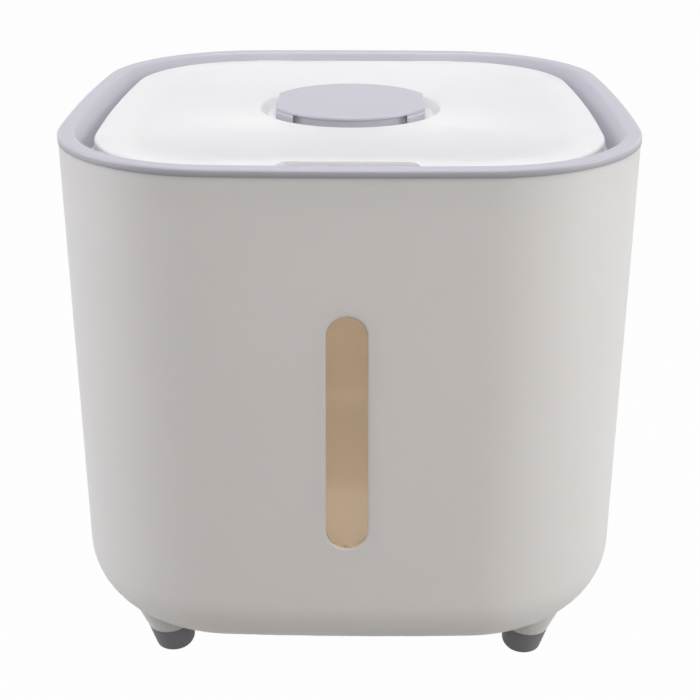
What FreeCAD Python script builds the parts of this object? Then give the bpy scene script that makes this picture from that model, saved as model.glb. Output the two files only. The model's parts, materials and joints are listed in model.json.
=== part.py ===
import FreeCAD, Part
import math
import os
from FreeCAD import Vector

# Square grain bin: white moulded body on four legs, grey rim, hinged lid locked by a turning knob.
# Millimetres. The origin is on the table under the middle of the bin, +Z is up, the front is -Y.

# Overall sizes
bin_width = 260.0
bin_depth = 261.5
bin_height = 251.3
corner_radius = 75.0
side_bulge = 1.6
front_bulge = 1.0
draft = 0.002

# Body
body_wall = 2.5
floor_wall = 3.0
body_step = 0.3
table_gap = 19.5
bottom_round = 30.7
sweep_margin = 6.0

# Legs and their soft tips
foot_inset = 43.9
tip_radius = 11.5
tip_height = 13.9
tip_bottom_radius = 8.9
tip_round = 3.7
leg_tilt = 8.2
leg_rise = 32.0
leg_top_radius = 20.2
leg_wall = 2.2
spigot_length = 4.0
spigot_wall = 2.0
push_fit = 0.1

# Rim, measured down from its top and inward from its outer edge
band_height = 3.3
lip_width = 7.0
lip_edge_round = 1.2
lip_round = 2.4
ledge_depth = 10.5
slope_run = 6.6
rim_wall = 2.5
collar_wall = 2.2
collar_depth = 16.0
skirt_wall = 2.0
skirt_depth = 16.0
snap_length = 14.0
snap_height = 2.4
snap_depth = 0.9
snap_place = 38.0
snap_drop = 11.0

# Window
window_width = 17.3
window_low_width = 18.3
window_length = 109.3
window_middle = 134.8
window_chamfer = 0.5
lens_recess = 0.5
lens_thickness = 1.8
lens_flange = 4.0
gasket_thickness = 0.8
clip_height = 9.0
clip_wall = 1.6
clip_hook = 1.1
clip_height_gap = 0.4
clip_hook_rise = 1.8
clip_spread = 32.0

# Lid cover
lid_gap = 15.6
lid_drop = 3.2
cover_plate = 2.4
cover_skirt = 2.0
cover_depth = 4.0
edge_round = 1.5
border_width = 16.0
panel_recess = 0.8
panel_slope = 1.2
notch_width = 61.0
notch_back_width = 54.0
notch_depth = 9.5
notch_round = 3.0
dish_radius = 43.5
dish_floor_radius = 40.2
dish_depth = 5.0
dish_floor = 2.0
dish_wall = 2.0
dish_mouth_round = 2.0
dish_corner_round = 2.0
pan_margin = 8.0
rib_thickness = 1.6
rib_height = 4.0

# Hinge at the back edge
hinge_drop = 6.0
hinge_offset = 2.0
hinge_spread = 45.0
knuckle_radius = 2.2
knuckle_length = 20.0
ear_thickness = 3.0
pin_radius = 1.0
pin_fit = 0.06
hinge_side_gap = 0.3
ear_gap = 0.1
knuckle_pocket_gap = 0.4

# Lid base, the tray that hangs in the throat
flange_gap = 0.4
flange_overlap = 3.5
base_flange_depth = 3.2
tray_gap = 1.8
tray_wall = 2.0
tray_floor = 2.0
tray_draft = 0.4
tray_round = 3.0
seal_width = 2.0
seal_groove = 1.1
seal_gap = 0.3
seal_shift = 0.5
tray_margin = 12.0

# Lid screws
screw_inset = 60.0
screw_radius = 1.5
screw_head_radius = 3.0
screw_head = 2.0
screw_fit = 0.05
screw_engagement = 8.0
post_radius = 5.5
post_height = 4.0
boss_radius = 4.2

# Knob
knob_radius = 38.5
knob_flat = 35.3
knob_rise = 2.5
knob_plate = 2.5
knob_lip = 1.4
knob_wall = 2.5
knob_corner_round = 4.0
knob_inner_radius = 34.4
knob_end_radius = 40.0
knob_end_drop = 1.8
knob_recess_half = 26.5
knob_recess_radius = 37.0
knob_edge_round = 0.8
knob_floor_gap = 0.5
shaft_radius = 6.0
shaft_fit = 0.05
shoulder_radius = 10.0
shoulder_gap = 0.2
drive_side = 8.0
bore_boss_radius = 11.0
bore_boss_height = 2.6
ring_section = 2.2

# Cam disc and bolts
cam_gap = 0.4
cam_radius = 34.0
cam_thickness = 2.5
cam_turn = 90.0
cam_overrun = 3.0
cam_start = 18.0
bolt_travel = 8.0
follower_radius = 2.5
follower_fit = 0.08
bolt_gap = 0.3
bolt_thickness = 3.7
bolt_width = 16.0
bolt_tail = 4.0
bolt_lead = 1.4
bolt_guide_gap = 0.25
guide_wall = 2.0
guide_height = 3.0
washer_thickness = 0.5
washer_radius = 6.5
knob_screw_radius = 1.6
knob_screw_head_radius = 3.4
knob_screw_head = 2.2
knob_screw_length = 8.0

# Heights and places that follow from the sizes above
UP = Vector(0, 0, 1)
ORIGIN = Vector(0, 0, 0)
core_x = bin_width / 2 - side_bulge - corner_radius
core_y = bin_depth / 2 - front_bulge - corner_radius
front_core = (core_x ** 2 + front_bulge ** 2) / (2 * front_bulge)
side_core = (core_y ** 2 + side_bulge ** 2) / (2 * side_bulge)
wall_top = bin_height - band_height
floor_top = table_gap + floor_wall
ledge_z = bin_height - ledge_depth
collar_z = bin_height - collar_depth
cover_top = bin_height - lid_drop
cover_under = cover_top - cover_plate
cover_low = cover_top - cover_depth
dish_z = cover_top - dish_depth
dish_under = dish_z - dish_floor
base_flange_inset = lid_gap + notch_depth + cover_skirt + flange_gap
throat_inset = base_flange_inset + flange_overlap
ear_x = hinge_spread - knuckle_length / 2 - hinge_side_gap - ear_thickness
lid_arc = front_core + corner_radius - lid_gap
lid_sag = lid_arc - math.sqrt(lid_arc ** 2 - ear_x ** 2)
lid_back = bin_depth / 2 - lid_gap
hinge_y = lid_back + max(hinge_offset, knuckle_radius + ear_gap - lid_sag)
hinge_z = bin_height - hinge_drop
cam_top = dish_under - cam_gap
cam_low = cam_top - cam_thickness
bolt_top = collar_z - bolt_gap
bolt_low = bolt_top - bolt_thickness
tray_top = bolt_low - bolt_gap
tray_low = tray_top - tray_floor
tray_inset = throat_inset + tray_gap
bolt_tip = bin_width / 2 - tray_inset - tray_draft
foot_x = bin_width / 2 - foot_inset
foot_y = bin_depth / 2 - foot_inset


def box(x0, x1, y0, y1, z0, z1):
    """Block between two corners."""
    return Part.makeBox(x1 - x0, y1 - y0, z1 - z0, Vector(x0, y0, z0))


def post(x, y, z0, z1, radius):
    """Upright round post."""
    return Part.makeCylinder(radius, z1 - z0, Vector(x, y, z0))


def rod(x0, x1, y, z, radius):
    """Round rod that lies along X."""
    return Part.makeCylinder(radius, x1 - x0, Vector(x0, y, z), Vector(1, 0, 0))


def mirrored_x(shape):
    """The same shape on the other side of the middle plane."""
    return shape.mirror(ORIGIN, Vector(1, 0, 0))


def rounded_loop(points, place):
    """Closed wire through (u, v, rounding) points, put in space by place(u, v)."""
    corners = [place(u, v) for u, v, rounding in points]
    count = len(points)
    ends = []
    edges = []
    for i in range(count):
        rounding = points[i][2]
        back = (corners[i - 1] - corners[i]).normalize()
        ahead = (corners[(i + 1) % count] - corners[i]).normalize()
        half = back.getAngle(ahead) / 2
        reach = rounding / math.tan(half)
        first = corners[i] + back * reach
        last = corners[i] + ahead * reach
        if rounding > 0:
            middle = corners[i] + (back + ahead).normalize() * (rounding / math.sin(half) - rounding)
            edges.append(Part.Arc(first, middle, last).toShape())
        ends.append((first, last))
    for i in range(count):
        start = ends[i][1]
        stop = ends[(i + 1) % count][0]
        edges.append(Part.LineSegment(start, stop).toShape())
    return Part.Wire(Part.__sortEdges__(edges))


def outline_arcs():
    """Centre, radius at the rim's edge, start and sweep of the eight arcs of the bin's outline."""
    lean_x = math.asin(core_y / side_core)
    lean_y = math.asin(core_x / front_core)
    sides = [
        (Vector(core_x + side_bulge - side_core, 0, 0), side_core, lean_x),
        (Vector(0, core_y + front_bulge - front_core, 0), front_core, lean_y),
        (Vector(side_core - core_x - side_bulge, 0, 0), side_core, lean_x),
        (Vector(0, front_core - core_y - front_bulge, 0), front_core, lean_y),
    ]
    corners = [(core_x, core_y), (-core_x, core_y), (-core_x, -core_y), (core_x, -core_y)]
    arcs = []
    for k in range(4):
        facing = k * math.pi / 2
        centre, core, lean = sides[k]
        next_lean = sides[(k + 1) % 4][2]
        x, y = corners[k]
        arcs.append((centre, core + corner_radius, facing - lean, 2 * lean))
        arcs.append((Vector(x, y, 0), corner_radius, facing + lean, math.pi / 2 - lean - next_lean))
    return arcs


def outline(inset, z):
    """The bin's outline, drawn in by an inset, at one height."""
    edges = []
    for centre, radius, start, sweep in outline_arcs():
        circle = Part.Circle(centre + UP * z, UP, radius - inset)
        edges.append(Part.Arc(circle, start, start + sweep).toShape())
    return Part.Wire(edges)


def slab(inset, z0, z1):
    """Flat plate with the bin's outline."""
    return Part.Face(outline(inset, z0)).extrude(UP * (z1 - z0))


def swept(points):
    """Carry a profile of (inset, height, rounding) points once round the bin's outline."""
    wire = rounded_loop(points, lambda inset, z: Vector(-inset, 0, z))
    pieces = []
    for centre, radius, start, sweep in outline_arcs():
        face = Part.Face(wire)
        face.translate(Vector(radius, 0, 0))
        face.rotate(ORIGIN, UP, math.degrees(start))
        face.translate(centre)
        pieces.append(face.revolve(centre, UP, math.degrees(sweep)))
    return pieces[0].fuse(pieces[1:]).removeSplitter()


def turned(points):
    """Solid of revolution about the upright axis from (radius, height, rounding) points."""
    wire = rounded_loop(points, lambda radius, z: Vector(radius, 0, z))
    return Part.Face(wire).revolve(ORIGIN, UP, 360)


def drafted(inset, z):
    """Inset of the body's tapering wall at one height."""
    return body_step + inset + draft * (wall_top - z)


def tub(inset, floor_z, rounding):
    """Filled form of the body at an inset: tapering walls and a rounded bottom."""
    reach = bottom_round + sweep_margin
    edge = swept([
        (drafted(inset, wall_top), wall_top, 0),
        (drafted(inset, floor_z), floor_z, rounding),
        (reach, floor_z, 0),
        (reach, wall_top, 0),
    ])
    return edge.fuse(slab(reach, floor_z, wall_top)).removeSplitter()


def wall_layer(near, far, margin):
    """Skin of the body between two insets, over the height of the window."""
    low = window_middle - window_length / 2 - margin
    high = window_middle + window_length / 2 + margin
    solids = []
    for inset in (near, far):
        bottom = outline(drafted(inset, low), low)
        top = outline(drafted(inset, high), high)
        solids.append(Part.makeLoft([bottom, top], True, True))
    return solids[0].cut(solids[1])


def front_slot(grow):
    """Upright slot with round ends through the front wall, a little wider below, grown by a margin."""
    top = window_width / 2
    bottom = window_low_width / 2
    high = window_middle + window_length / 2 - top
    low = window_middle - window_length / 2 + bottom
    lean = math.asin((bottom - top) / (high - low))
    edges = []
    ends = []
    for z, radius, out in ((high, top + grow, 1), (low, bottom + grow, -1)):
        side = Vector(radius * math.cos(lean), -bin_depth, z + radius * math.sin(lean))
        crown = Vector(0, -bin_depth, z + out * radius)
        mirror = Vector(-side.x, side.y, side.z)
        edges.append(Part.Arc(side, crown, mirror).toShape())
        ends.append((side, mirror))
    for k in (0, 1):
        edges.append(Part.LineSegment(ends[0][k], ends[1][k]).toShape())
    face = Part.Face(Part.Wire(Part.__sortEdges__(edges)))
    return face.extrude(Vector(0, bin_depth, 0))


def wall_y(x, inset, z):
    """Distance of the tapering front or back wall from the middle plane."""
    centre = core_y + front_bulge - front_core
    radius = front_core + corner_radius - drafted(inset, z)
    return centre + math.sqrt(radius ** 2 - x ** 2)


def feet():
    """Foot names with the signs of their places."""
    return [
        ("front_left", -1, -1),
        ("front_right", 1, -1),
        ("back_left", -1, 1),
        ("back_right", 1, 1),
    ]


def on_leg(shape, sign_x, sign_y):
    """Set a form that stands on the origin on a leg's axis, which leans outward as it rises."""
    shape.rotate(ORIGIN, Vector(-sign_y, sign_x, 0), leg_tilt)
    shape.translate(Vector(sign_x * foot_x, sign_y * foot_y, tip_height))
    return shape


def leg_cone(sign_x, sign_y, thinner):
    """Leaning cone of one leg, from the joint with its tip up into the body."""
    slope = (leg_top_radius - tip_radius) / leg_rise
    low = 0 if thinner == 0 else -1
    cone = turned([
        (0, low, 0),
        (tip_radius + slope * low - thinner, low, 0),
        (leg_top_radius - thinner, leg_rise, 0),
        (0, leg_rise, 0),
    ])
    return on_leg(cone, sign_x, sign_y)


def snap_places():
    """Turn and reach of the snap beads, two on each side of the square."""
    places = []
    for k in range(4):
        half = bin_width / 2 if k % 2 == 0 else bin_depth / 2
        core = side_core if k % 2 == 0 else front_core
        radius = core + corner_radius
        sag = radius - math.sqrt(radius ** 2 - snap_place ** 2)
        for along in (-snap_place, snap_place):
            places.append((90 * k, half - sag, along))
    return places


def snap_block(turn, face, along, depth, grow):
    """One wedge of the snap joint between rim and body, on the side that the turn faces."""
    z = bin_height - snap_drop
    inner = drafted(body_wall, z)
    root = face - inner - skirt_wall / 2
    tip = face - inner + depth
    high = z + snap_height / 2 + grow
    low = z - snap_height / 2 - grow
    half = snap_length / 2 + grow
    points = [(root, high, 0), (tip, high, 0), (root + skirt_wall / 2, low, 0), (root, low, 0)]
    wire = rounded_loop(points, lambda u, v: Vector(u, along - half, v))
    wedge = Part.Face(wire).extrude(Vector(0, 2 * half, 0))
    wedge.rotate(ORIGIN, UP, turn)
    return wedge


def body_shell():
    """White body: thin walls, rounded bottom, four hollow legs, window slot and lens clips."""
    outer = tub(0, table_gap, bottom_round)
    cavity = tub(body_wall, floor_top, bottom_round - body_wall)
    shell = outer.cut(cavity)
    for name, sign_x, sign_y in feet():
        leg = leg_cone(sign_x, sign_y, 0).cut(leg_cone(sign_x, sign_y, leg_wall).cut(outer))
        shell = shell.fuse(leg.cut(cavity))
    shell = shell.cut(front_slot(0))
    shell = shell.cut(front_slot(window_chamfer).common(wall_layer(-1, 0.4, 5)))
    shell = shell.fuse(lens_clips())
    for turn, face, along in snap_places():
        shell = shell.cut(snap_block(turn, face, along, snap_depth + push_fit, push_fit))
    return shell.removeSplitter()


def lens_stack():
    """Insets of the lens parts behind the front wall: gasket start, flange start, flange end."""
    gasket = body_wall + push_fit
    flange = gasket + gasket_thickness
    return gasket, flange, flange + lens_thickness


def lens_clips():
    """Four hooks inside the front wall that hold the lens flange."""
    back = lens_stack()[2] + push_fit
    clips = []
    for z in (window_middle - clip_spread, window_middle + clip_spread):
        y = -wall_y(0, back, z)
        x = window_low_width / 2 + lens_flange + push_fit
        root = y - back - clip_height_gap + body_wall / 2
        points = [
            (x, root, 0),
            (x, y, 0),
            (x - clip_hook, y, 0),
            (x, y + clip_hook_rise, 0),
            (x + clip_wall, y + clip_hook_rise, 0),
            (x + clip_wall, root, 0),
        ]
        wire = rounded_loop(points, lambda u, v: Vector(u, v, z - clip_height / 2))
        clip = Part.Face(wire).extrude(UP * clip_height)
        clips.append(clip)
        clips.append(mirrored_x(clip))
    return clips


def window_lens():
    """Amber strip: a plug that fills the slot and a flange behind the wall."""
    gasket, flange, back = lens_stack()
    plug = front_slot(-push_fit).common(wall_layer(lens_recess, back, 10))
    rim = front_slot(lens_flange).common(wall_layer(flange, back, 10))
    return plug.fuse(rim).removeSplitter()


def window_gasket():
    """Flat seal between the lens flange and the inside of the wall."""
    gasket, flange, back = lens_stack()
    ring = front_slot(lens_flange - 0.3).cut(front_slot(push_fit))
    return ring.common(wall_layer(gasket, flange - push_fit / 2, 10))


def foot_tip(sign_x, sign_y):
    """Soft tip: leaning round-ended cone, flat where it stands, with a hollow spigot in the leg."""
    low = -tip_height - tip_bottom_radius * math.tan(math.radians(leg_tilt))
    outside = tip_radius - leg_wall - 2 * push_fit
    tip = turned([
        (0, low, 0),
        (tip_bottom_radius, low, tip_round),
        (tip_radius, 0, 0),
        (0, 0, 0),
    ])
    tip = tip.fuse(post(0, 0, -1, spigot_length, outside))
    tip = tip.cut(post(0, 0, -tip_height / 2, spigot_length + 1, outside - spigot_wall))
    tip = on_leg(tip, sign_x, sign_y)
    reach = 2 * tip_radius
    x = sign_x * foot_x
    y = sign_y * foot_y
    return tip.cut(box(x - reach, x + reach, y - reach, y + reach, -reach, 0)).removeSplitter()


def rim_ring():
    """Grey rim: rounded lip, sloped inner wall, ledge for the lid, collar and a skirt with snap beads."""
    ledge_start = lip_width + slope_run
    rise = ledge_depth / math.hypot(slope_run, ledge_depth)
    across = rim_wall / rise
    under_z = ledge_z - rim_wall
    slope = slope_run / ledge_depth
    pocket_z = bin_height - 2 * rim_wall
    skirt_out = drafted(body_wall + push_fit, wall_top)
    skirt_low = bin_height - skirt_depth
    skirt_out_low = drafted(body_wall + push_fit, skirt_low)
    ring = swept([
        (0, wall_top, 0),
        (0, bin_height, lip_edge_round),
        (lip_width, bin_height, lip_round),
        (ledge_start, ledge_z, 1.5),
        (throat_inset, ledge_z, 0.8),
        (throat_inset, collar_z, 0),
        (throat_inset - collar_wall, collar_z, 0),
        (throat_inset - collar_wall, under_z, 0),
        (ledge_start - across + slope * rim_wall, under_z, 0),
        (lip_width - across + slope * 2 * rim_wall, pocket_z, 0),
        (skirt_out + skirt_wall, pocket_z, 0),
        (skirt_out_low + skirt_wall, skirt_low, 0),
        (skirt_out_low, skirt_low, 0),
        (skirt_out, wall_top, 0),
    ])
    for turn, face, along in snap_places():
        ring = ring.fuse(snap_block(turn, face, along, snap_depth, 0))
    for x in (-hinge_spread, hinge_spread):
        ring = hinge_seat(ring, x)
    return ring.removeSplitter()


def hinge_seat(ring, x):
    """Pocket for one knuckle of the lid, with an ear on each side that holds the pin."""
    inside = knuckle_length / 2 + hinge_side_gap
    outside = inside + ear_thickness
    for side in (-1, 1):
        x0 = min(x + side * inside, x + side * outside)
        ear = rod(x0, x0 + ear_thickness, hinge_y, hinge_z, knuckle_radius)
        back = hinge_y + slope_run / ledge_depth * (ledge_depth - hinge_drop) + rim_wall / 2
        foot = box(x0, x0 + ear_thickness, hinge_y - knuckle_radius, back, ledge_z - rim_wall / 2, hinge_z)
        ring = ring.fuse(ear).fuse(foot)
    pocket = rod(x - inside, x + inside, hinge_y, hinge_z, knuckle_radius + knuckle_pocket_gap)
    ring = ring.cut(pocket)
    return ring.cut(rod(x - outside - 1, x + outside + 1, hinge_y, hinge_z, pin_radius + pin_fit / 3))


def hinge_pin(x):
    """Steel pin held in the two ears of one hinge."""
    half = knuckle_length / 2 + hinge_side_gap + ear_thickness
    return rod(x - half, x + half, hinge_y, hinge_z, pin_radius)


def notch_prism(grow, z0, z1):
    """Finger notch in the lid's front edge, wider at the mouth, grown by a margin."""
    edge = bin_depth / 2 - lid_gap
    mouth = edge + notch_depth
    flare = (notch_width - notch_back_width) / (2 * notch_depth)
    outer = notch_width / 2 + flare * notch_depth
    back = -edge + notch_depth
    points = [
        (-outer - grow, -mouth, 0),
        (outer + grow, -mouth, 0),
        (notch_back_width / 2 + grow, back + grow, notch_round + grow),
        (-notch_back_width / 2 - grow, back + grow, notch_round + grow),
    ]
    wire = rounded_loop(points, lambda x, y: Vector(x, y, z0))
    return Part.Face(wire).extrude(UP * (z1 - z0))


def cover_pan(shell):
    """Upside-down pan of the lid cover: thin when shell is true, else its filled form."""
    reach = lid_gap + pan_margin
    if not shell:
        edge = swept([
            (lid_gap, cover_low, 0),
            (lid_gap, cover_top, edge_round),
            (reach, cover_top, 0),
            (reach, cover_low, 0),
        ])
        return edge.fuse(slab(reach, cover_low, cover_top))
    edge = swept([
        (lid_gap, cover_low, 0),
        (lid_gap, cover_top, edge_round),
        (reach, cover_top, 0),
        (reach, cover_under, 0),
        (lid_gap + cover_skirt, cover_under, 0),
        (lid_gap + cover_skirt, cover_low, 0),
    ])
    return edge.fuse(slab(reach, cover_under, cover_top))


def screw_spots():
    """Places of the four lid screws."""
    x = bin_width / 2 - screw_inset
    y = bin_depth / 2 - screw_inset
    return [(sx * x, sy * y) for sx in (-1, 1) for sy in (-1, 1)]


def lid_cover():
    """White lid top: thin pan with finger notch, shallow panel, round well, bosses, ribs and knuckles."""
    cover = cover_pan(True).cut(notch_prism(0, cover_low - 1, cover_top + 1))
    wall = notch_prism(cover_skirt, cover_low, cover_top).cut(notch_prism(0, cover_low - 1, cover_top + 1))
    cover = cover.fuse(wall.common(cover_pan(False)))
    panel_inset = lid_gap + border_width
    panel_z = cover_top - panel_recess
    panel = Part.makeLoft([
        outline(panel_inset + panel_slope, panel_z),
        outline(panel_inset, cover_top),
    ], True, True)
    cover = cover.cut(panel)
    cover = cover.fuse(post(0, 0, dish_under, cover_under + cover_plate / 2, dish_radius + dish_wall))
    for x, y in screw_spots():
        cover = cover.fuse(post(x, y, tray_top + post_height, cover_under + cover_plate / 2, boss_radius))
        reach = math.hypot(x, y)
        rib = box(dish_radius, reach, -rib_thickness / 2, rib_thickness / 2,
                  cover_under - rib_height, cover_under + cover_plate / 2)
        rib.rotate(ORIGIN, UP, math.degrees(math.atan2(y, x)))
        cover = cover.fuse(rib)
    cover = cover.cut(turned([
        (0, dish_z, 0),
        (dish_floor_radius, dish_z, dish_corner_round),
        (dish_radius, panel_z, dish_mouth_round),
        (dish_radius + 5, panel_z, 0),
        (dish_radius + 5, cover_top + 5, 0),
        (0, cover_top + 5, 0),
    ]))
    cover = cover.fuse(post(0, 0, dish_under, dish_z + bore_boss_height, bore_boss_radius))
    cover = cover.cut(post(0, 0, dish_under - 1, cover_top, shaft_radius + shaft_fit))
    seat = shaft_radius + seal_gap + ring_section + push_fit / 2
    cover = cover.cut(post(0, 0, dish_z, cover_top, seat))
    for x, y in screw_spots():
        top = tray_top + post_height + screw_engagement + 1
        cover = cover.cut(post(x, y, tray_top, top, screw_radius + screw_fit))
    for x in (-hinge_spread, hinge_spread):
        cover = cover.fuse(knuckle(x))
        bore = pin_radius + pin_fit
        cover = cover.cut(rod(x - knuckle_length, x + knuckle_length, hinge_y, hinge_z, bore))
    return cover.removeSplitter()


def knuckle(x):
    """Barrel on the lid's back edge that turns on a hinge pin."""
    x0 = x - knuckle_length / 2
    x1 = x + knuckle_length / 2
    skirt_y = bin_depth / 2 - lid_gap - cover_skirt
    barrel = rod(x0, x1, hinge_y, hinge_z, knuckle_radius)
    web = box(x0, x1, skirt_y, hinge_y, cover_low, min(hinge_z + knuckle_radius, cover_top - edge_round))
    return barrel.fuse(web)


def lid_base():
    """Inner half of the lid: flange with a seal groove, tray wall, floor, bolt guides and screw posts."""
    flange_low = cover_under - base_flange_depth
    reach = tray_inset + tray_margin
    tray = swept([
        (base_flange_inset, cover_under, 0),
        (base_flange_inset, flange_low, 0),
        (tray_inset, flange_low, 0),
        (tray_inset + tray_draft, tray_low, tray_round),
        (reach, tray_low, 0),
        (reach, tray_top, 0),
        (tray_inset + tray_draft + tray_wall, tray_top, 0),
        (tray_inset + tray_wall, cover_under, 0),
    ])
    tray = tray.fuse(slab(reach, tray_low, tray_top))
    groove = seal_inset()
    tray = tray.cut(swept([
        (groove, flange_low - 1, 0),
        (groove, flange_low + seal_groove, 0),
        (groove + seal_width, flange_low + seal_groove, 0),
        (groove + seal_width, flange_low - 1, 0),
    ]))
    half = bolt_width / 2 + bolt_guide_gap
    start = cam_start - bolt_tail + bolt_travel + 2
    end = bolt_tip - tray_wall / 2
    guide = box(start, end, -half - guide_wall, -half, tray_top, tray_top + guide_height)
    for rail in (guide, guide.mirror(ORIGIN, Vector(0, 1, 0))):
        tray = tray.fuse(rail).fuse(mirrored_x(rail))
    window_top = bolt_top + bolt_gap
    window = box(bolt_tip - 3 * tray_wall, bolt_tip + 2 * tray_wall, -half, half, tray_top, window_top)
    tray = tray.cut(window).cut(mirrored_x(window))
    for x, y in screw_spots():
        tray = tray.fuse(post(x, y, tray_low, tray_top + post_height, post_radius))
        recess_top = tray_top + post_height - screw_head
        tray = tray.cut(post(x, y, tray_low - 1, recess_top, screw_head_radius + push_fit))
        tray = tray.cut(post(x, y, tray_low, tray_top + post_height + 1, screw_radius + screw_fit))
    return tray.removeSplitter()


def seal_inset():
    """Inset of the lid seal's outer edge, in the middle of the base flange."""
    return base_flange_inset + (tray_inset - base_flange_inset - seal_width) / 2 - seal_shift


def lid_gasket():
    """Soft seal in the flange's groove, a small gap above the ledge while the lid lies closed."""
    flange_low = cover_under - base_flange_depth
    inset = seal_inset() + push_fit / 2
    width = seal_width - push_fit
    return swept([
        (inset, ledge_z + seal_gap, 0),
        (inset, flange_low + seal_groove, 0),
        (inset + width, flange_low + seal_groove, 0),
        (inset + width, ledge_z + seal_gap, 0),
    ])


def lid_screws():
    """Four screws that hold the lid halves together from below."""
    screws = []
    for x, y in screw_spots():
        seat = tray_top + post_height - screw_head
        head = post(x, y, seat - screw_head, seat, screw_head_radius)
        shank = post(x, y, seat, seat + screw_head + screw_engagement, screw_radius)
        cross = box(x - 1.6, x + 1.6, y - 0.4, y + 0.4, seat - screw_head, seat - screw_head + 1.0)
        turned_cross = cross.copy()
        turned_cross.rotate(Vector(x, y, 0), UP, 90)
        screws.append(head.fuse(shank).cut(cross).cut(turned_cross).removeSplitter())
    return Part.makeCompound(screws)


def knob_disc(radius, flat, z0, z1):
    """Round block with its left and right sides cut flat."""
    return post(0, 0, z0, z1, radius).common(box(-flat, flat, -radius, radius, z0, z1))


def knob_outline(z0, z1):
    """Tall block with the knob's two flats and rounded corners where they meet the round ends."""
    y = math.sqrt(knob_end_radius ** 2 - knob_flat ** 2)
    points = [
        (knob_flat, y, knob_corner_round),
        (0, 2 * knob_end_radius, 0),
        (-knob_flat, y, knob_corner_round),
        (-knob_flat, -y, knob_corner_round),
        (0, -2 * knob_end_radius, 0),
        (knob_flat, -y, knob_corner_round),
    ]
    wire = rounded_loop(points, lambda u, v: Vector(u, v, z0))
    return Part.Face(wire).extrude(UP * (z1 - z0))


def twist_knob():
    """Grey knob: flat-sided ribbed cap, recessed below its lip, with a shaft and a square drive."""
    top = cover_top + knob_rise
    low = dish_z + knob_floor_gap
    cap = turned([
        (0, low, 0),
        (knob_radius, low, 0),
        (knob_radius, top, knob_edge_round),
        (0, top, 0),
    ])
    ends = turned([
        (knob_radius - 2, low, 0),
        (knob_end_radius, low, 0),
        (knob_end_radius, top - knob_end_drop, 0.5),
        (knob_radius - 2, top - knob_end_drop, 0),
    ])
    reach = knob_end_radius + 1
    middle = box(-knob_recess_half, knob_recess_half, -reach, reach, low - 1, top + 1)
    knob = cap.fuse(ends.cut(middle))
    band = turned([
        (knob_recess_radius, low - 1, 0),
        (knob_end_radius + 5, low - 1, 0),
        (knob_end_radius + 5, top - knob_lip, 0),
        (knob_recess_radius, top - knob_lip, 0.8),
    ])
    knob = knob.cut(band.common(middle))
    knob = knob.common(knob_outline(low, top))
    knob = knob.cut(knob_disc(knob_inner_radius, knob_flat - knob_wall, low, top - knob_plate))
    shoulder = dish_z + bore_boss_height + shoulder_gap
    for angle in (45, 135):
        rib = box(-knob_inner_radius - 1, knob_inner_radius + 1, -rib_thickness / 2, rib_thickness / 2,
                  shoulder, top - knob_plate / 2)
        rib.rotate(ORIGIN, UP, angle)
        knob = knob.fuse(rib)
    knob = knob.fuse(post(0, 0, shoulder, top - knob_plate / 2, shoulder_radius))
    knob = knob.fuse(post(0, 0, cam_top, shoulder + 1, shaft_radius))
    half = drive_side / 2
    knob = knob.fuse(box(-half, half, -half, half, cam_low, cam_top + 1))
    hole_top = cam_low - washer_thickness + knob_screw_length + 1
    knob = knob.cut(post(0, 0, cam_low - 1, hole_top, knob_screw_radius + screw_fit))
    return knob.removeSplitter()


def knob_seal():
    """Square-section seal in the well's boss, round the knob's shaft."""
    inner = shaft_radius + seal_gap
    return turned([
        (inner, dish_z, 0),
        (inner + ring_section, dish_z, 0),
        (inner + ring_section, dish_z + ring_section, 0),
        (inner, dish_z + ring_section, 0),
    ])


def spiral(angle):
    """Radius of the cam slot's middle line at an angle in degrees from its start."""
    return cam_start + bolt_travel * angle / cam_turn


def spiral_edge(side):
    """One long edge of the cam slot: the spiral moved sideways by the follower's radius."""
    steps = 16
    width = follower_radius + follower_fit
    rate = bolt_travel / math.radians(cam_turn)
    points = []
    for i in range(steps + 1):
        angle = -cam_overrun + (cam_turn + 2 * cam_overrun) * i / steps
        radius = spiral(angle)
        turn = math.radians(angle)
        along = Vector(math.cos(turn), math.sin(turn), 0)
        across = Vector(-math.sin(turn), math.cos(turn), 0)
        tangent = (along * rate + across * radius).normalize()
        normal = Vector(tangent.y, -tangent.x, 0)
        points.append(along * radius + normal * (side * width) + UP * cam_low)
    return points


def cam_slot():
    """Spiral slot that drives one bolt outward at a steady rate as the disc turns."""
    outer = spiral_edge(1)
    inner = spiral_edge(-1)
    long_sides = []
    for points in (outer, inner):
        curve = Part.BSplineCurve()
        curve.interpolate(points)
        long_sides.append(curve.toShape())
    edges = list(long_sides)
    for end, sense in ((0, -1), (-1, 1)):
        chord = outer[end] - inner[end]
        middle = (outer[end] + inner[end]) * 0.5
        ahead = Vector(-chord.y, chord.x, 0).normalize() * (chord.Length / 2 * sense)
        edges.append(Part.Arc(outer[end], middle + ahead, inner[end]).toShape())
    face = Part.Face(Part.Wire(Part.__sortEdges__(edges)))
    return face.extrude(UP * cam_thickness)


def cam_disc():
    """Disc on the knob's square drive with two spiral slots, half a turn apart."""
    disc = turned([
        (0, cam_low, 0),
        (cam_radius, cam_low, 0),
        (cam_radius, cam_top, 0),
        (0, cam_top, 0),
    ])
    half = drive_side / 2 + push_fit / 2
    disc = disc.cut(box(-half, half, -half, half, cam_low - 1, cam_top + 1))
    for turn in (0, 180):
        slot = cam_slot()
        slot.rotate(ORIGIN, UP, turn)
        disc = disc.cut(slot)
        opening = post(cam_start, 0, cam_low - 1, cam_top + 1, 5)
        opening.rotate(ORIGIN, UP, turn - 45)
        disc = disc.cut(opening)
    return disc.removeSplitter()


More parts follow.
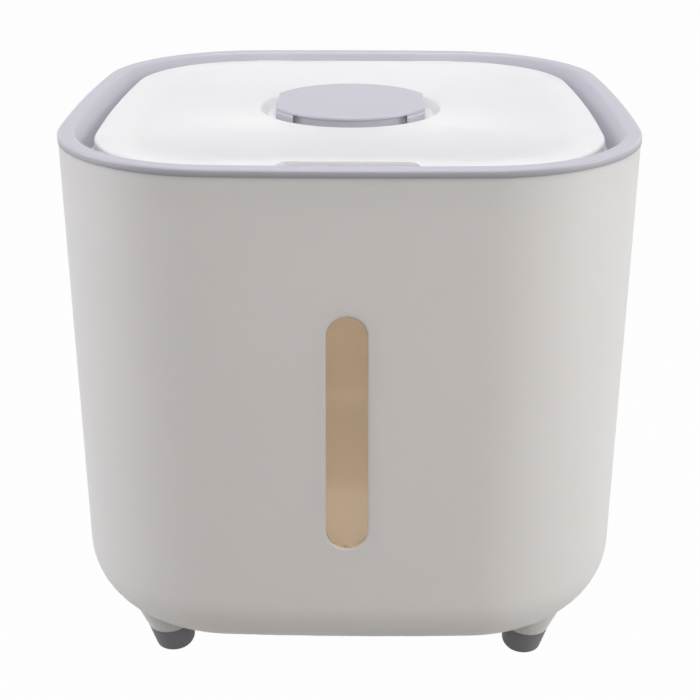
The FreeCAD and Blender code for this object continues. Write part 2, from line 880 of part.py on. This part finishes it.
def latch_bolt():
    """Right-hand bolt: flat bar with a lead-in at its tip and a round follower in the cam slot."""
    half = bolt_width / 2
    tail = cam_start - bolt_tail
    points = [
        (tail, bolt_low, 0),
        (bolt_tip, bolt_low, 0.5),
        (bolt_tip, bolt_top - bolt_lead, 0),
        (bolt_tip - 2 * bolt_lead, bolt_top, 0),
        (tail, bolt_top, 0),
    ]
    wire = rounded_loop(points, lambda x, z: Vector(x, -half, z))
    bar = Part.Face(wire).extrude(Vector(0, bolt_width, 0))
    pocket_wall = 2.0
    start = tail + 2 * bolt_tail + pocket_wall
    length = (bolt_tip - 4 * bolt_lead - start - pocket_wall) / 2
    for i in range(2):
        x0 = start + i * (length + pocket_wall)
        pocket = box(x0, x0 + length, -half + pocket_wall, half - pocket_wall, bolt_low + 1.4, bolt_top + 1)
        bar = bar.cut(pocket)
    follower = post(cam_start, 0, bolt_top - 1, cam_top - 0.3, follower_radius)
    return bar.fuse(follower).removeSplitter()


def knob_washer():
    """Flat washer under the cam disc."""
    ring = post(0, 0, cam_low - washer_thickness, cam_low, washer_radius)
    return ring.cut(post(0, 0, cam_low - 1, cam_low + 1, knob_screw_radius + push_fit))


def knob_screw():
    """Screw that pulls the knob and the cam disc together through the well's floor."""
    seat = cam_low - washer_thickness
    head = turned([
        (0, seat - knob_screw_head, 0),
        (knob_screw_head_radius, seat - knob_screw_head, 0.7),
        (knob_screw_head_radius, seat, 0),
        (0, seat, 0),
    ])
    screw = head.fuse(post(0, 0, seat, seat + knob_screw_length, knob_screw_radius))
    cross = box(-1.8, 1.8, -0.45, 0.45, seat - knob_screw_head, seat - knob_screw_head + 1.2)
    turned_cross = cross.copy()
    turned_cross.rotate(ORIGIN, UP, 90)
    return screw.cut(cross).cut(turned_cross).removeSplitter()


def build():
    """Every piece of the bin by node name."""
    bolt = latch_bolt()
    pieces = {
        "body_shell": body_shell(),
        "rim_ring": rim_ring(),
        "window_lens": window_lens(),
        "window_gasket": window_gasket(),
        "hinge_pin_left": hinge_pin(-hinge_spread),
        "hinge_pin_right": hinge_pin(hinge_spread),
        "lid_cover": lid_cover(),
        "lid_base": lid_base(),
        "lid_gasket": lid_gasket(),
        "lid_screws": lid_screws(),
        "twist_knob": twist_knob(),
        "knob_seal": knob_seal(),
        "knob_washer": knob_washer(),
        "knob_screw": knob_screw(),
        "cam_disc": cam_disc(),
        "latch_bolt_right": bolt,
        "latch_bolt_left": mirrored_x(bolt),
    }
    for name, sign_x, sign_y in feet():
        pieces["foot_tip_" + name] = foot_tip(sign_x, sign_y)
    return pieces


os.makedirs("parts", exist_ok=True)
for node, shape in build().items():
    print(node, "solids", len(shape.Solids), "valid", shape.isValid(), "volume", round(shape.Volume, 1))
    shape.exportStep("parts/" + node + ".step")
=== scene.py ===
# %% [markdown]
# # A moulded grain bin on four short legs
#
# The bin is a household product made of plastic mouldings: a white polypropylene tub, a grey rim, a white
# lid with a round grey knob, an amber level window and soft grey foot tips. Its shapes come from the
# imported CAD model, so this lesson is about surfaces and light: how each plastic is made, what that does to
# its surface, and how a studio shows it.

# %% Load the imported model
import json
import math
import bpy
from mathutils import Matrix, Vector

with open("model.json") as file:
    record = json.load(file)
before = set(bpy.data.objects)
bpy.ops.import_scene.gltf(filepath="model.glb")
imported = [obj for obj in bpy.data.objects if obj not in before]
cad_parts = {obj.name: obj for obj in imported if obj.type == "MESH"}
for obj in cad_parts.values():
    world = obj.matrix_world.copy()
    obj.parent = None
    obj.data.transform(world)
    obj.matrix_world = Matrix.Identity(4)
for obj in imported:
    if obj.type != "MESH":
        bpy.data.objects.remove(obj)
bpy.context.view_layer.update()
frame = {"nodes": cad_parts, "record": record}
nodes = frame["nodes"]

# %% [markdown]
# ## Small helpers
#
# A colour in a photo editor is an sRGB hex value, but a shader works with linear light. One function
# turns the first into the second, so every colour in this file can be picked and checked by eye. The
# second helper adds a node with its settings and links in one call, which keeps each material short. The
# third starts an empty material. Lengths are in metres here, so MM turns millimetres into them.

# %% Colour and node helpers
MM = 0.001


def linear(hex_colour):
    """Linear RGBA of an sRGB hex colour such as "c8c7d3"."""
    channels = [int(hex_colour[i:i + 2], 16) / 255 for i in (0, 2, 4)]
    return [c / 12.92 if c <= 0.04045 else ((c + 0.055) / 1.055) ** 2.4 for c in channels] + [1.0]


def add(tree, kind, inputs=None, **settings):
    """Add a node, set its properties, and fill or link its inputs."""
    node = tree.nodes.new(kind)
    for name, value in settings.items():
        setattr(node, name, value)
    for name, value in (inputs or {}).items():
        if isinstance(value, bpy.types.NodeSocket):
            tree.links.new(value, node.inputs[name])
        else:
            node.inputs[name].default_value = value
    return node


def new_material(name):
    """An empty node material and its tree."""
    material = bpy.data.materials.new(name)
    material.use_nodes = True
    material.node_tree.nodes.clear()
    return material, material.node_tree


print("mid grey in linear light", [round(c, 3) for c in linear("808080")[:3]])

# %% [markdown]
# ## Clean shading on the CAD pieces
#
# A CAD mesh keeps the vertices of each face apart and is shaded flat. A mould maker's surfaces run on
# smoothly and break only at real edges. A small node group does that without touching the mesh: it welds
# the seams, shades every face smooth and keeps each edge sharp where two faces meet at more than 35
# degrees. A modifier is the right tool here, because the CAD vertices stay as they are.

# %% Smooth shading by angle
SHARP_ANGLE = math.radians(35)
WELD_DISTANCE = 0.002 * MM


def smooth_by_angle():
    """Node group that welds seams and shades smooth, except across sharp edges."""
    group = bpy.data.node_groups.new("smooth_by_angle", "GeometryNodeTree")
    group.interface.new_socket("Geometry", in_out="INPUT", socket_type="NodeSocketGeometry")
    group.interface.new_socket("Geometry", in_out="OUTPUT", socket_type="NodeSocketGeometry")
    start = add(group, "NodeGroupInput")
    weld = add(group, "GeometryNodeMergeByDistance", {
        "Geometry": start.outputs["Geometry"], "Distance": WELD_DISTANCE})
    faces = add(group, "GeometryNodeSetShadeSmooth", {
        "Geometry": weld.outputs["Geometry"], "Shade Smooth": True}, domain="FACE")
    angle = add(group, "GeometryNodeInputMeshEdgeAngle")
    sharp = add(group, "FunctionNodeCompare", {
        0: angle.outputs["Unsigned Angle"], 1: SHARP_ANGLE}, data_type="FLOAT", operation="GREATER_THAN")
    edges = add(group, "GeometryNodeSetShadeSmooth", {
        "Geometry": faces.outputs["Geometry"], "Selection": sharp.outputs["Result"],
        "Shade Smooth": False}, domain="EDGE")
    add(group, "NodeGroupOutput", {"Geometry": edges.outputs["Geometry"]})
    return group


smoothing = smooth_by_angle()
for piece in nodes.values():
    piece.modifiers.new("smooth_by_angle", "NODES").node_group = smoothing
print("smoothed", len(nodes), "pieces")

# %% [markdown]
# ## White polypropylene
#
# The tub and the lid are injection-moulded polypropylene. The mould's faces are finely spark-eroded, so
# the plastic has a satin skin that shows as a soft, wide highlight. Its real grain is about 0.1 mm. It is
# drawn at 0.4 mm, as coarse as it needs to be to show at this distance. Unfilled polypropylene also lets
# some light through, which softens the shading and lights the inside of the bin. A principled shader with
# a little subsurface scattering says both things in one node. A photograph of
# such a surface could be laid on it instead, but noise in real millimetres needs no unwrapping.

# %% Moulded polypropylene
PP_IOR = 1.49
GRAIN = 0.4 * MM
GRAIN_STRENGTH = 0.3
CLOUD = 45 * MM
CLOUD_SHADE = 0.985
SATIN_SPREAD = 0.02
SCATTER_DEPTH = 4 * MM
SCATTER_REACH = (1.0, 0.9, 0.8)


def moulded_plastic(name, hex_colour, roughness, grain_depth, scatter=0.0, ior=PP_IOR, shade=None):
    """Satin moulded plastic: fine eroded grain in the bump, faint clouds in colour and roughness."""
    material, tree = new_material(name)
    place = add(tree, "ShaderNodeTexCoord").outputs["Object"]
    grain = add(tree, "ShaderNodeTexNoise", {"Vector": place, "Scale": 1 / GRAIN, "Detail": 2.0})
    clouds = add(tree, "ShaderNodeTexNoise", {"Vector": place, "Scale": 1 / CLOUD, "Detail": 1.0})
    cloudy = [CLOUD_SHADE * c for c in linear(hex_colour)[:3]] + [1.0]
    paint = add(tree, "ShaderNodeMix", {
        "Factor": clouds.outputs["Fac"], "A": cloudy, "B": linear(hex_colour)}, data_type="RGBA").outputs[2]
    # An optional shade function paints shade into the colour, as the rim's seam shade does.
    if shade:
        paint = shade(tree, place, paint)
    satin = add(tree, "ShaderNodeMapRange", {
        "Value": clouds.outputs["Fac"],
        "To Min": roughness - SATIN_SPREAD, "To Max": roughness + SATIN_SPREAD})
    bump = add(tree, "ShaderNodeBump", {
        "Height": grain.outputs["Fac"], "Distance": grain_depth, "Strength": GRAIN_STRENGTH})
    shader = add(tree, "ShaderNodeBsdfPrincipled", {
        "Base Color": paint, "Roughness": satin.outputs["Result"],
        "IOR": ior, "Normal": bump.outputs["Normal"]})
    if scatter > 0:
        shader.inputs["Subsurface Weight"].default_value = scatter
        shader.inputs["Subsurface Radius"].default_value = SCATTER_REACH
        shader.inputs["Subsurface Scale"].default_value = SCATTER_DEPTH
    add(tree, "ShaderNodeOutputMaterial", {"Surface": shader.outputs["BSDF"]})
    return material


white_pp = moulded_plastic("moulded_white_polypropylene", "f0eeec", 0.42, 0.02 * MM, scatter=0.6)
print("white plastic", white_pp.name, "grain", GRAIN / MM, "mm")

# %% [markdown]
# ## Grey rim and knob
#
# The rim and the knob are the same plastic, tinted a cool grey in the melt. Where the rim sits on the tub
# its lower edge rolls in a little and the joint fills with shade, so the photograph shows a thin dark line
# above the white, about 1.6 mm high. It could be modelled as a groove. Here that shade is painted instead:
# the rim's material darkens its upright faces toward the seam, by their height and by the lean of their
# normal. The sloped inside of the rim leans more than that, so it gets no painted shade.

# %% Grey plastic and the painted seam shade
# These numbers set the painted shade that darkens the rim just above its seam with the tub.
SEAM = 248.0 * MM
PAINTED_SHADE_RISE = 1.6 * MM
PAINTED_SHADE_LEVEL = 0.7
UPRIGHT_LEAN = 0.2


def painted_joint_shade(tree, place, paint):
    """Painted shade: darken the upright faces just above the seam between rim and tub."""
    height = add(tree, "ShaderNodeSeparateXYZ", {"Vector": place}).outputs["Z"]
    normal = add(tree, "ShaderNodeNewGeometry").outputs["True Normal"]
    lean = add(tree, "ShaderNodeSeparateXYZ", {"Vector": normal}).outputs["Z"]
    upright = add(tree, "ShaderNodeMath", {0: lean, 1: 0.0, 2: UPRIGHT_LEAN}, operation="COMPARE")
    rise = add(tree, "ShaderNodeMapRange", {
        "Value": height, "From Min": SEAM, "From Max": SEAM + PAINTED_SHADE_RISE,
        "To Min": PAINTED_SHADE_LEVEL, "To Max": 1.0})
    level = add(tree, "ShaderNodeMix", {
        "Factor": upright.outputs[0], "A": 1.0, "B": rise.outputs["Result"]}, data_type="FLOAT")
    shaded = add(tree, "ShaderNodeMix", {
        "Factor": 1.0, "A": paint, "B": level.outputs[0]}, data_type="RGBA", blend_type="MULTIPLY")
    return shaded.outputs[2]


COOL_GREY = "c0bfc8"
grey_pp = moulded_plastic("moulded_grey_polypropylene", COOL_GREY, 0.38, 0.015 * MM, scatter=0.3)
# The rim's grey plastic carries painted shade along its seam with the tub.
rim_with_painted_shade = moulded_plastic(
    "rim_polypropylene_with_painted_shade", COOL_GREY, 0.38, 0.015 * MM, scatter=0.3, shade=painted_joint_shade)
print("grey plastics", grey_pp.name, rim_with_painted_shade.name, "seam at", SEAM / MM, "mm")

# %% [markdown]
# ## Amber window
#
# The level window is a clear amber strip, moulded in polystyrene and polished on its face. Behind it lies
# the pale inside of the tub, so it glows softly, and its face mirrors the sweep in front of the bin. A
# principled shader with high transmission gives the tint, and a little roughness gives the slight
# milkiness of a cheap clear moulding. Separate glass and tint shaders could be mixed, but one node holds
# the real values: the index of polystyrene, the tint and the polish.

# %% Tinted polystyrene
POLYSTYRENE_IOR = 1.55
FLOW_MARK = 12 * MM
HAZE_SPREAD = 0.02
CLEARNESS = 0.9


def tinted_clear(name, hex_colour, roughness, ior):
    """Clear tinted moulding, a touch hazier along its flow marks."""
    material, tree = new_material(name)
    place = add(tree, "ShaderNodeTexCoord").outputs["Object"]
    flow = add(tree, "ShaderNodeTexNoise", {"Vector": place, "Scale": 1 / FLOW_MARK, "Detail": 1.0})
    haze = add(tree, "ShaderNodeMapRange", {
        "Value": flow.outputs["Fac"],
        "To Min": roughness - HAZE_SPREAD, "To Max": roughness + HAZE_SPREAD})
    shader = add(tree, "ShaderNodeBsdfPrincipled", {
        "Base Color": linear(hex_colour), "Roughness": haze.outputs["Result"],
        "IOR": ior, "Transmission Weight": CLEARNESS})
    add(tree, "ShaderNodeOutputMaterial", {"Surface": shader.outputs["BSDF"]})
    return material


amber_lens = tinted_clear("tinted_polystyrene", "fbe0bc", 0.07, POLYSTYRENE_IOR)
print("window", amber_lens.name, "index", POLYSTYRENE_IOR)

# %% [markdown]
# ## Soft tips, seals and slides
#
# The foot tips are a thermoplastic elastomer: matt, with a grain that catches a little dust. The seals are
# silicone, which is softer still and slightly clear. The cam and its bolts are acetal, a slick, slightly
# waxy plastic. All are moulded, so the recipe of the white plastic serves, with other colours, grain,
# roughness and refractive index.

# %% Elastomer, silicone and acetal
SILICONE_IOR = 1.41
ACETAL_IOR = 1.48
grey_tpe = moulded_plastic("moulded_grey_elastomer", "7c7c80", 0.62, 0.03 * MM)
silicone = moulded_plastic("moulded_silicone", "dcdde0", 0.5, 0.01 * MM, scatter=0.2, ior=SILICONE_IOR)
acetal = moulded_plastic("moulded_acetal", "e4e3de", 0.3, 0.005 * MM, ior=ACETAL_IOR)
print("soft and sliding plastics", grey_tpe.name, silicone.name, acetal.name)

# %% [markdown]
# ## Plated steel
#
# The hinge pins, the screws and the washer are zinc-plated steel. They are drawn or turned, so their
# surface is bright but not a mirror: fine marks scatter the highlight along the wire. A metal takes its
# look from colour and roughness, so noise that is drawn out along one axis drives the roughness alone.

# %% Zinc-plated steel
DRAWING_MARK = 0.3 * MM
MARK_STRETCH = (0.1, 1.0, 1.0)
WEAR_SPREAD = 0.08


def plated_steel(name, hex_colour, roughness):
    """Zinc-plated steel with fine drawing marks."""
    material, tree = new_material(name)
    place = add(tree, "ShaderNodeTexCoord").outputs["Object"]
    stretch = add(tree, "ShaderNodeMapping", {"Vector": place, "Scale": MARK_STRETCH})
    marks = add(tree, "ShaderNodeTexNoise", {
        "Vector": stretch.outputs["Vector"], "Scale": 1 / DRAWING_MARK, "Detail": 3.0})
    worn = add(tree, "ShaderNodeMapRange", {
        "Value": marks.outputs["Fac"],
        "To Min": roughness - WEAR_SPREAD, "To Max": roughness + WEAR_SPREAD})
    shader = add(tree, "ShaderNodeBsdfPrincipled", {
        "Base Color": linear(hex_colour), "Metallic": 1.0, "Roughness": worn.outputs["Result"]})
    add(tree, "ShaderNodeOutputMaterial", {"Surface": shader.outputs["BSDF"]})
    return material


steel = plated_steel("zinc_plated_steel", "c9c9cb", 0.3)
print("metal", steel.name)

# %% [markdown]
# ## Each piece gets its material
#
# The imported record names a material slot for every piece, as a bill of materials does. Reading it here
# means that no piece is forgotten and that all pieces of one plastic change together. Only the rim has a
# material of its own, the grey plastic with painted shade along the seam.

# %% Fill the material slots
MATERIAL_OF_SLOT = {
    "white_pp": white_pp,
    "grey_pp": grey_pp,
    "amber_lens": amber_lens,
    "grey_tpe": grey_tpe,
    "silicone": silicone,
    "acetal": acetal,
    "steel": steel,
}
for row in frame["record"]["subparts"]:
    # The rim gets the grey plastic with painted shade along its seam.
    finish = rim_with_painted_shade if row["node"] == "rim_ring" else MATERIAL_OF_SLOT[row["material_slot"]]
    for slot in nodes[row["node"]].material_slots:
        slot.material = finish

# %% [markdown]
# ## Rays that see plain white
#
# The photograph is a product shot on white. The floor and the room have to look white, but if they shone
# on the bin at that strength, its forms would drown in even light. A light path node tells the rays
# apart: the camera, reflections and the view through the window get white, and the diffuse light that
# floor and room give stays low. A bright sheet far behind the bin would do for the camera alone, but not
# for the other angles.

# %% Background rays


def background_rays(tree):
    """1 for rays that should see the plain background: camera, glossy and transmission rays."""
    path = add(tree, "ShaderNodeLightPath")
    two = add(tree, "ShaderNodeMath", {
        0: path.outputs["Is Camera Ray"], 1: path.outputs["Is Glossy Ray"]}, operation="MAXIMUM")
    return add(tree, "ShaderNodeMath", {
        0: two.outputs[0], 1: path.outputs["Is Transmission Ray"]}, operation="MAXIMUM").outputs[0]


print("white to camera, glossy and transmission rays")

# %% [markdown]
# ## White table
#
# The bin stands on matt white paper. Most of what the floor shows is plain white, and a small share is a
# matt surface, which takes a faint shadow. In the photograph the window's lower third mirrors the near
# part of the table, and above that its mirror image is darker. So the floor is dimmer to reflected rays
# in front of a line, the table's edge. The floor lies 0.2 mm below the tips, because two flat faces in
# one plane would flicker.

# %% Floor
FLOOR_WIDTH = 16.0
FLOOR_DROP = 0.2 * MM
FLOOR_SHADOW = 0.02
TABLE_EDGE = -322 * MM
FAR_GLOSS = 0.3


def sweep_light(tree):
    """Strength of the floor's white: full, but dim to reflected rays beyond the table's edge."""
    position = add(tree, "ShaderNodeNewGeometry").outputs["Position"]
    along = add(tree, "ShaderNodeSeparateXYZ", {"Vector": position}).outputs["Y"]
    beyond = add(tree, "ShaderNodeMath", {0: along, 1: TABLE_EDGE}, operation="LESS_THAN")
    glossy = add(tree, "ShaderNodeLightPath").outputs["Is Glossy Ray"]
    mirrored = add(tree, "ShaderNodeMath", {0: beyond.outputs[0], 1: glossy}, operation="MULTIPLY")
    return add(tree, "ShaderNodeMapRange", {
        "Value": mirrored.outputs[0], "To Min": 1.0, "To Max": FAR_GLOSS}).outputs["Result"]


bpy.ops.mesh.primitive_plane_add(size=FLOOR_WIDTH, location=(0, 0, -FLOOR_DROP))
floor = bpy.context.object
floor.name = "floor"
paper, tree = new_material("matt_paper_sweep")
share = add(tree, "ShaderNodeMath", {0: background_rays(tree), 1: 1 - FLOOR_SHADOW}, operation="MULTIPLY")
matt = add(tree, "ShaderNodeBsdfDiffuse", {"Color": linear("9a9794")})
glow = add(tree, "ShaderNodeEmission", {"Color": linear("ffffff"), "Strength": sweep_light(tree)})
both = add(tree, "ShaderNodeMixShader", {0: share.outputs[0], 1: matt.outputs[0], 2: glow.outputs[0]})
add(tree, "ShaderNodeOutputMaterial", {"Surface": both.outputs[0]})
floor.data.materials.append(paper)
print("floor", FLOOR_WIDTH, "m wide,", FLOOR_DROP / MM, "mm below the tips")

# %% [markdown]
# ## Room
#
# The walls of a studio send back a little light from all sides, which fills the deepest shade. The world
# gives it, weak and very slightly cool, and shows plain white where the background is seen.

# %% World
WORLD_LEVEL = 0.08

world = bpy.data.worlds.new("studio")
bpy.context.scene.world = world
world.use_nodes = True
tree = world.node_tree
tree.nodes.clear()
ambient = add(tree, "ShaderNodeBackground", {"Color": linear("fdfdff"), "Strength": WORLD_LEVEL})
white = add(tree, "ShaderNodeBackground", {"Color": linear("ffffff"), "Strength": 1.0})
seen = background_rays(tree)
both = add(tree, "ShaderNodeMixShader", {0: seen, 1: ambient.outputs[0], 2: white.outputs[0]})
add(tree, "ShaderNodeOutputWorld", {"Surface": both.outputs[0]})
print("room light", WORLD_LEVEL)

# %% [markdown]
# ## Lamps
#
# A large soft box above makes the lid the brightest face. One at each side lights the rounded corners, and
# a weak one in front keeps the front a soft grey. Each is set by the level at which it alone would show a
# white face turned to it, because that number can be read off the picture, while watts can't. The levels
# were fitted, lamp by lamp, so that together they match the photograph. The real tub's thin walls let more
# light in than a few millimetres of scattering give here, so a small soft lamp under the lid stands for it.

# %% Soft boxes


def softbox(name, place, aim_at, width, height, level, hex_colour="ffffff"):
    """Rectangular soft lamp whose light alone would render a white face at this level."""
    lamp = bpy.data.lights.new(name, "AREA")
    lamp.shape = "RECTANGLE"
    lamp.size = width
    lamp.size_y = height
    lamp.color = linear(hex_colour)[:3]
    aim = Vector(aim_at) - Vector(place)
    lamp.energy = level * math.pi ** 2 * aim.length_squared
    holder = bpy.data.objects.new(name, lamp)
    holder.location = place
    holder.rotation_mode = "QUATERNION"
    holder.rotation_quaternion = aim.to_track_quat("-Z", "Y")
    bpy.context.scene.collection.objects.link(holder)
    print(name, "watts", round(lamp.energy, 2))


COOL_WHITE = "f7f8ff"
WARM_WHITE = "fff8f3"
LID_MIDDLE = (0, 0, 0.25)
TUB_MIDDLE = (0, 0, 0.14)
softbox("overhead_softbox", place=(0, 0.1, 1.5), aim_at=LID_MIDDLE, width=1.2, height=1.2, level=0.81,
        hex_colour=COOL_WHITE)
softbox("front_softbox", place=(0, -1.5, 1.2), aim_at=TUB_MIDDLE, width=1.0, height=0.6, level=0.30,
        hex_colour=WARM_WHITE)
softbox("left_softbox", place=(-1.4, -0.1, 0.5), aim_at=TUB_MIDDLE, width=0.8, height=1.0, level=0.43,
        hex_colour=COOL_WHITE)
softbox("right_softbox", place=(1.35, -0.35, 0.5), aim_at=TUB_MIDDLE, width=0.8, height=1.0, level=0.50)
softbox("light_through_the_walls", place=(0, -0.05, 0.21), aim_at=(0, 0.12, 0.12), width=0.12, height=0.06,
        level=0.33)

# %% [markdown]
# ## Camera
#
# The camera stands a little above the rim and looks down on the lid. Its place was worked out from the
# rim's outline, the tub's edges and the window. A small downward shift keeps the framing of the
# photograph, where the bin's middle lies below the optical axis.

# %% Camera
IMAGE_SIZE = 700
SENSOR_WIDTH = 36
FOCAL_PIXELS = 1257.3
OPTICAL_ROW = 290
CAMERA_PLACE = (0.00678, -0.6027, 0.38196)
PITCH = math.radians(20.914)
TURN = math.radians(0.671)
ROLL = math.radians(0.052)

camera = bpy.data.cameras.new("camera")
camera.sensor_width = SENSOR_WIDTH
camera.lens = FOCAL_PIXELS / IMAGE_SIZE * SENSOR_WIDTH
camera.shift_y = (OPTICAL_ROW - IMAGE_SIZE / 2) / IMAGE_SIZE
viewer = bpy.data.objects.new("camera", camera)
viewer.rotation_mode = "QUATERNION"
viewer.location = CAMERA_PLACE
tilt = Matrix.Rotation(math.pi / 2 - PITCH, 3, "X") @ Matrix.Rotation(ROLL, 3, "Z")
viewer.rotation_quaternion = (Matrix.Rotation(TURN, 3, "Z") @ tilt).to_quaternion()
bpy.context.scene.collection.objects.link(viewer)
bpy.context.scene.camera = viewer
bpy.context.scene.view_settings.view_transform = "Standard"
print("lens", round(camera.lens, 2), "shift", round(camera.shift_y, 4))
